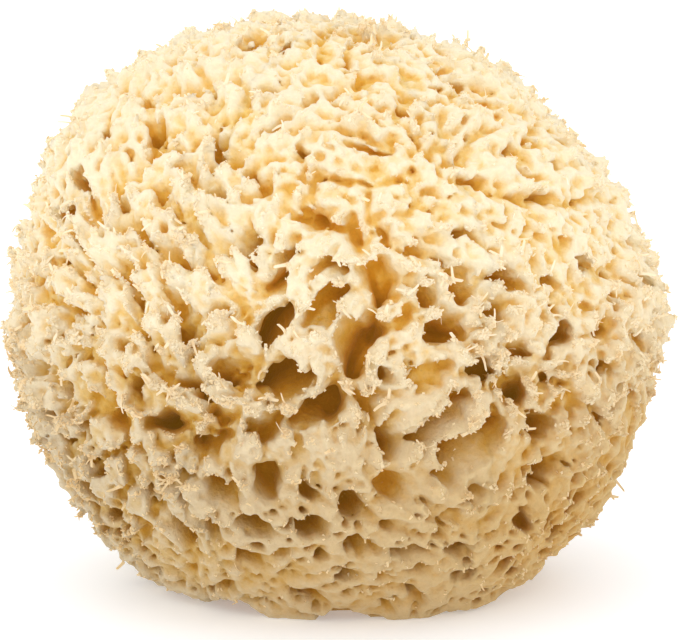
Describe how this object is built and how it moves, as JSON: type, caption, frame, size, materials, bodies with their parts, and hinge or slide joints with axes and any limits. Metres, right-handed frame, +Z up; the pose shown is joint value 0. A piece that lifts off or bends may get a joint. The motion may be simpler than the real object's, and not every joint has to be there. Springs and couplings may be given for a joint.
{
  "type": "sea sponge",
  "caption": "Rounded natural sea sponge with ragged, tufted crests between open canals, trimmed close low down and cut flat underneath, so that it stands by itself.",
  "frame": {"origin": "on the flat cut that the sponge stands on, under the middle of its bounding box", "axes": "+Z up from the flat cut, +X to the right of someone facing the front, +Y away from them"},
  "size_m": [0.1504, 0.1368, 0.129],
  "materials": {
    "sponge_fibre": "matte, pale straw at the crests and amber in the canals"
  },
  "bodies": {
    "root": {"sponge": "sponge_fibre"}
  },
  "joints": []
}
